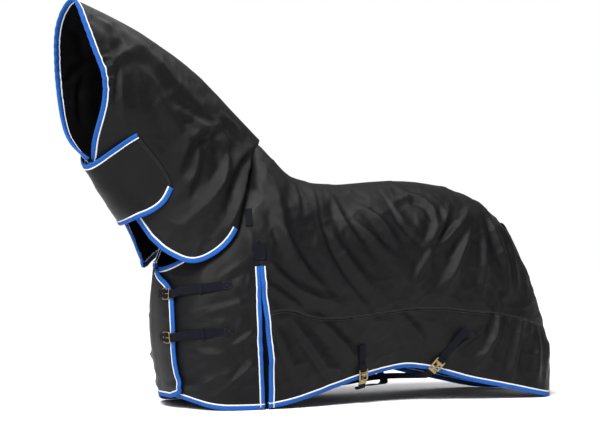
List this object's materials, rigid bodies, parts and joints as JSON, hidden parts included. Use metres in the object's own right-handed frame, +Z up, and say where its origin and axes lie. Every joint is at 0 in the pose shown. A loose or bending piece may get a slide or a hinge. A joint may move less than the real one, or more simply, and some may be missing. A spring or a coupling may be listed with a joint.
{
  "type": "horse turnout rug",
  "caption": "Full-neck horse turnout rug shaped as worn: body cover, neck cover, throat flap, tail flap, chest buckles and cross surcingles.",
  "frame": {"origin": "on the floor under the middle of the rug: bottom centre of its bounding box", "axes": "the horse faces -X, its left (near) side is -Y, +Z is up"},
  "size_m": [2.4204, 0.7324, 1.7645],
  "materials": {
    "shell_fabric": "satin, charcoal black quilted turnout fabric",
    "lining_fabric": "matte black lining",
    "binding_tape": "royal blue woven tape with a white inner stripe",
    "webbing": "navy black webbing",
    "brass": "pale polished brass",
    "hook_and_loop": "black pile"
  },
  "bodies": {
    "rug": {"billet_lower": "webbing", "billet_upper": "webbing", "body_lining": "lining_fabric", "buckle_tab_lower": "webbing", "buckle_tab_upper": "webbing", "chest_edge_binding_near": "binding_tape", "chest_edge_binding_off": "binding_tape", "face_opening_binding": "binding_tape", "gusset_near": "shell_fabric", "gusset_off": "shell_fabric", "hem_binding_front_near": "binding_tape", "hem_binding_front_off": "binding_tape", "hem_binding_rear_near": "binding_tape", "hem_binding_rear_off": "binding_tape", "keeper_lower": "webbing", "keeper_upper": "webbing", "loop_strip": "hook_and_loop", "lower_panel_near": "shell_fabric", "lower_panel_off": "shell_fabric", "neck_front_binding_near": "binding_tape", "neck_front_binding_off": "binding_tape", "neck_lining": "lining_fabric", "neck_lower_binding_near": "binding_tape", "neck_lower_binding_off": "binding_tape", "neck_shell": "shell_fabric", "neck_strap_near": "webbing", "neck_strap_off": "webbing", "neckline_binding_near": "binding_tape", "neckline_binding_off": "binding_tape", "outer_shell": "shell_fabric", "rear_edge_binding_near": "binding_tape", "rear_edge_binding_off": "binding_tape", "slit_binding_front_near": "binding_tape", "slit_binding_front_off": "binding_tape", "slit_binding_rear_near": "binding_tape", "slit_binding_rear_off": "binding_tape", "slit_patch_near": "webbing", "slit_patch_off": "webbing", "surcingle_strap_front": "webbing", "surcingle_strap_rear": "webbing", "surcingle_tab_front": "webbing", "surcingle_tab_rear": "webbing", "t_hook_front": "brass", "t_hook_rear": "brass", "throat_flap_fixed": "shell_fabric", "throat_flap_fixed_binding_low": "binding_tape", "throat_flap_fixed_binding_top": "binding_tape"},
    "throat_flap": {"throat_flap_tab": "shell_fabric", "throat_flap_tab_binding_top": "binding_tape", "throat_flap_tab_binding_low": "binding_tape", "hook_strip": "hook_and_loop"},
    "tail_flap": {"tail_flap": "shell_fabric", "tail_flap_binding": "binding_tape"},
    "buckle_upper_frame": {"buckle_frame_upper": "brass"},
    "buckle_upper_prong": {"buckle_prong_upper": "brass"},
    "buckle_lower_frame": {"buckle_frame_lower": "brass"},
    "buckle_lower_prong": {"buckle_prong_lower": "brass"},
    "t_lock_front": {"t_lock_plate_front": "brass"},
    "t_lock_rear": {"t_lock_plate_rear": "brass"}
  },
  "joints": [
    {"name": "throat_flap_hinge", "type": "hinge", "parent": "rug", "child": "throat_flap", "pos_m": [-1.02216, -0.10257, 0.92237], "axis": [-0.626, -0.0782, 0.7759], "range_deg": [0, 110]},
    {"name": "tail_flap_hinge", "type": "hinge", "parent": "rug", "child": "tail_flap", "pos_m": [1.0528, 0, 0.822], "axis": [0, -1, 0], "range_deg": [0, 90]},
    {"name": "buckle_upper_frame_pivot", "type": "hinge", "parent": "rug", "child": "buckle_upper_frame", "pos_m": [-0.74638, -0.09708, 0.50173], "axis": [-0.064, -0.0259, -0.9976], "range_deg": [0, 45]},
    {"name": "buckle_upper_prong_pivot", "type": "hinge", "parent": "buckle_upper_frame", "child": "buckle_upper_prong", "pos_m": [-0.74638, -0.09708, 0.50173], "axis": [-0.064, -0.0259, -0.9976], "range_deg": [0, 45]},
    {"name": "buckle_lower_frame_pivot", "type": "hinge", "parent": "rug", "child": "buckle_lower_frame", "pos_m": [-0.74475, -0.10475, 0.31178], "axis": [0.0857, 0.0163, -0.9962], "range_deg": [0, 45]},
    {"name": "buckle_lower_prong_pivot", "type": "hinge", "parent": "buckle_lower_frame", "child": "buckle_lower_prong", "pos_m": [-0.74475, -0.10475, 0.31178], "axis": [0.0857, 0.0163, -0.9962], "range_deg": [0, 45]},
    {"name": "t_lock_front_pivot", "type": "hinge", "parent": "rug", "child": "t_lock_front", "pos_m": [0.1407, -0.29869, 0.15446], "axis": [0.9775, 0.1538, 0.1442], "range_deg": [-3.5, 3.5]},
    {"name": "t_lock_rear_pivot", "type": "hinge", "parent": "rug", "child": "t_lock_rear", "pos_m": [0.53737, -0.31081, 0.18595], "axis": [0.7968, -0.0196, -0.6039], "range_deg": [-3.5, 3.5]}
  ]
}
